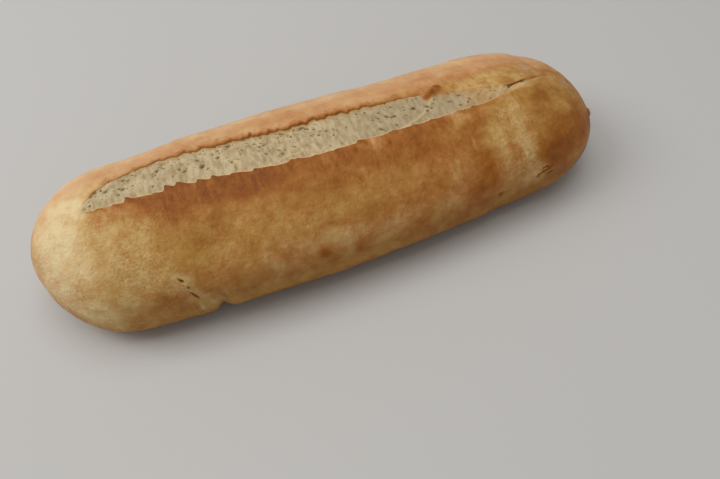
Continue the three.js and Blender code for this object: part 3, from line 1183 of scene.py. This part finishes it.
# The dark of the pores is painted shade
PORE_SHADE_COLOUR = (0.14, 0.075, 0.020)
FLAKE_COLOUR = (0.72, 0.55, 0.30)
FLOUR_COLOUR = (0.76, 0.69, 0.58)
SHINE = 0.17
BUMP_MM = 0.7

# How far each pattern of the crust shifts its browning
CLOUD_SHIFT = 0.34
PATCH_SHIFT = 0.30
MOTTLE_SHIFT = 0.14
STREAK_SHIFT = 0.60
GRAIN_SHIFT = 0.46
# Wrinkle lines make the crust paler, partly pale skin and partly painted highlights on the wrinkles
WRINKLE_PALE_AND_HIGHLIGHT_SHIFT = -0.11
DARKEST_PATTERN = 0.84
FLECK_STRENGTH = 0.34


def wrinkle_lines(n, rough_skin):
    """Thin lines over parts of the skin, 1 in their middles, which make the crust paler: partly pale skin,
    partly painted highlights on the wrinkles.
    """
    lines = n.spread(n.math("ABSOLUTE", n.swing(7, 2, 0.55, None, 1.4)), 0, 0.035, 1, 0)
    lines = n.times(lines, n.spread(n.noise(10, 2), 0.47, 0.60))
    lines = n.times(lines, n.spread(n.attribute("flaky"), 0, 1, 0.45, 1))
    return n.times(lines, rough_skin)


def crust_looks(n):
    """The crust's colour, its browning, and its grain, wrinkles and flecks."""
    rough_skin = n.spread(n.attribute("calm"), 0, 1, 1, 0.4)
    clouds = n.times(n.swing(7, 4, 0.6), rough_skin)
    patches_of_skin = n.swing(16, 2, 0.5)
    mottle = n.times(n.swing(2.6, 3, 0.55), rough_skin)
    streaks = n.times(n.swing(2.4, 3, 0.6, (1.0, 0.22, 0.22)), n.attribute("streaky"))
    grain = n.times(n.swing(1.5, 3, 0.6, None, 0.5), n.attribute("flaky"))
    wrinkles = wrinkle_lines(n, rough_skin)
    browned = n.attribute("bake")
    # The wrinkle lines make the crust paler, partly painted highlights
    for pattern, shift in [(clouds, CLOUD_SHIFT), (patches_of_skin, PATCH_SHIFT), (mottle, MOTTLE_SHIFT),
                           (streaks, STREAK_SHIFT), (grain, GRAIN_SHIFT), (wrinkles, WRINKLE_PALE_AND_HIGHLIGHT_SHIFT)]:
        browned = n.math("MULTIPLY_ADD", pattern, shift, browned)
    browned = n.math("MINIMUM", browned, n.math("MAXIMUM", n.attribute("bake"), DARKEST_PATTERN))
    reddened = n.spread(n.math("MULTIPLY_ADD", clouds, 1.2, n.attribute("russet")), 0, 1)
    colour = n.mix(reddened, n.ramp(browned, GOLDEN_STOPS), n.ramp(browned, RUSSET_STOPS))
    # Light flecks show only where the crust isn't dark
    flecks = n.spread(n.noise(3.4, 2, 0.5, None, 1.2), 0.50, 0.72)
    flecks = n.times(flecks, n.attribute("flaky"))
    flecks = n.times(flecks, n.spread(browned, 0.38, 0.56, 1, 0))
    colour = n.mix(n.times(flecks, FLECK_STRENGTH), colour, FLAKE_COLOUR)
    return colour, browned, grain, wrinkles, flecks


def crumb_looks(n):
    """The crumb's colour, with painted shade in its pores, and its small holes."""
    web = n.noise(2.6, 3, 0.55, (1.0, 0.4, 0.4))
    tone = n.mix(n.spread(web, 0.30, 0.64), CRUMB_DARK, CRUMB_LIGHT)
    # Painted shade on the crumb towards the right, and darker patches at the far left
    tone = n.mix(n.times(n.attribute("crumb_shade_and_patches"), 0.42), tone, CRUMB_SHADE_AND_PATCH_COLOUR)
    tone = n.mix(n.attribute("toasted"), tone, TOASTED_COLOUR)
    tone = n.mix(n.attribute("torn"), tone, TORN_COLOUR)
    small_holes = n.math("ADD", n.holes(2.6, 0.5, 0.32), n.times(n.holes(1.5, 0.4, 0.3), 0.6))
    small_holes = n.times(small_holes, n.attribute("porous"))
    # Pores and the crevice are painted dark: painted shade inside the hollows
    holes = n.math("MAXIMUM", n.spread(n.attribute("pore"), 0.15, 0.85, 0, 0.9), small_holes)
    return n.mix(n.spread(holes, 0, 1, 0, 0.85), tone, PORE_SHADE_COLOUR), small_holes


def bread_material():
    """Browned crust, pale crumb and a little flour, told apart by the mesh's masks."""
    n = Nodes("baked_bread")
    crumb_share = n.attribute("crumb")
    crust_colour, browned, grain, wrinkles, flecks = crust_looks(n)
    crumb_tone, small_holes = crumb_looks(n)
    dust = n.times(n.attribute("flour"), n.spread(n.noise(1.2, 3), 0.35, 0.6))
    colour = n.mix(dust, n.mix(crumb_share, crust_colour, crumb_tone), FLOUR_COLOUR)
    n.put(n.shader.inputs["Base Color"], colour)

    # Dark crust is the least rough, crumb and flour the roughest
    roughness = n.spread(browned, 0.2, 0.8, 0.62, 0.44)
    roughness = n.math("MAXIMUM", roughness, n.spread(crumb_share, 0, 1, 0, 0.92))
    roughness = n.math("MAXIMUM", roughness, n.spread(dust, 0, 1, 0, 0.9))
    n.put(n.shader.inputs["Roughness"], roughness)
    n.put(n.shader.inputs["Specular IOR Level"], SHINE)

    height = n.math("ADD", n.times(n.noise(2.2, 2, 0.5), 0.4), n.noise(5.0, 2))
    for pattern, rise in [(flecks, 0.15), (grain, 0.7), (wrinkles, 0.22)]:
        height = n.math("MULTIPLY_ADD", pattern, rise, height)
    height = n.times(height, n.spread(crumb_share, 0, 1, 1, 0.35))
    height = n.math("MULTIPLY_ADD", n.times(small_holes, crumb_share), -0.7, height)
    n.bump(height, BUMP_MM)
    return n.material


def floor_material():
    n = Nodes("pale_floor")
    n.put(n.shader.inputs["Base Color"], (0.55, 0.55, 0.545, 1))
    n.put(n.shader.inputs["Roughness"], 0.8)
    return n.material


mesh.materials.append(bread_material())
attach(loaf, "root")
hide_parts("loaf")

# ---- floor, light, camera

# Half the floor's side, in metres
HALF_FLOOR = 3.0
signs = [(-1, -1), (1, -1), (1, 1), (-1, 1)]
floor_corners = [(HALF_FLOOR * side, HALF_FLOOR * end, 0) for side, end in signs]
floor_mesh = bpy.data.meshes.new("floor")
floor_mesh.from_pydata(floor_corners, [], [(0, 1, 2, 3)])
floor = bpy.data.objects.new("floor", floor_mesh)
floor.data.materials.append(floor_material())
bpy.context.scene.collection.objects.link(floor)

# The middle of the loaf, in metres, which the lamps look at
AIM = Vector((0, 0, 0.04))


def area_light(name, place, size, power, colour):
    """A square lamp at place, in metres, that looks at the loaf."""
    data = bpy.data.lights.new(name, "AREA")
    data.shape = "SQUARE"
    data.size = size
    data.energy = power
    data.color = colour
    lamp = bpy.data.objects.new(name, data)
    lamp.location = place
    lamp.rotation_euler = (AIM - Vector(place)).to_track_quat("-Z", "Y").to_euler()
    bpy.context.scene.collection.objects.link(lamp)


area_light("window_light", (-1.5, 0.5, 1.6), 1.2, 19.5, (1.0, 0.97, 0.94))
area_light("ceiling_light", (0.0, 0.2, 2.0), 1.6, 14.0, (1.0, 0.98, 0.96))

ROOM_COLOUR = (1.0, 0.97, 0.93, 1)
ROOM_LIGHT = 0.36
world = bpy.data.worlds.new("soft_room")
bpy.context.scene.world = world
world.use_nodes = True
backdrop = world.node_tree.nodes["Background"]
backdrop.inputs["Color"].default_value = ROOM_COLOUR
backdrop.inputs["Strength"].default_value = ROOM_LIGHT
bpy.context.scene.view_settings.view_transform = "Standard"

# The view: where the camera stands, in millimetres, and how it is turned
CAMERA_PLACE = (-77.9, -300.7, 344.8)
CAMERA_AZIMUTH = math.radians(-17.94)
CAMERA_ELEVATION = math.radians(51.4)
CAMERA_ROLL = math.radians(-4.75)
CAMERA_LENS = 31.48
CAMERA_FILM = 36
CAMERA_NEAREST = 0.01


def camera_turn():
    """The camera's right, up and back directions, as the columns of a matrix."""
    level = math.cos(CAMERA_ELEVATION)
    back = Vector((math.sin(CAMERA_AZIMUTH) * level, -math.cos(CAMERA_AZIMUTH) * level,
                   math.sin(CAMERA_ELEVATION)))
    right = Vector((math.cos(CAMERA_AZIMUTH), math.sin(CAMERA_AZIMUTH), 0))
    up = back.cross(right)
    rolled_right = right * math.cos(CAMERA_ROLL) + up * math.sin(CAMERA_ROLL)
    rolled_up = up * math.cos(CAMERA_ROLL) - right * math.sin(CAMERA_ROLL)
    return Matrix((rolled_right, rolled_up, back)).transposed()


camera_data = bpy.data.cameras.new("camera")
camera_data.lens = CAMERA_LENS
camera_data.sensor_width = CAMERA_FILM
camera_data.clip_start = CAMERA_NEAREST
camera = bpy.data.objects.new("camera", camera_data)
camera_at = (Vector(CAMERA_PLACE) - Vector(shift)) * MM
camera.matrix_world = Matrix.Translation(camera_at) @ camera_turn().to_4x4()
bpy.context.scene.collection.objects.link(camera)
bpy.context.scene.camera = camera
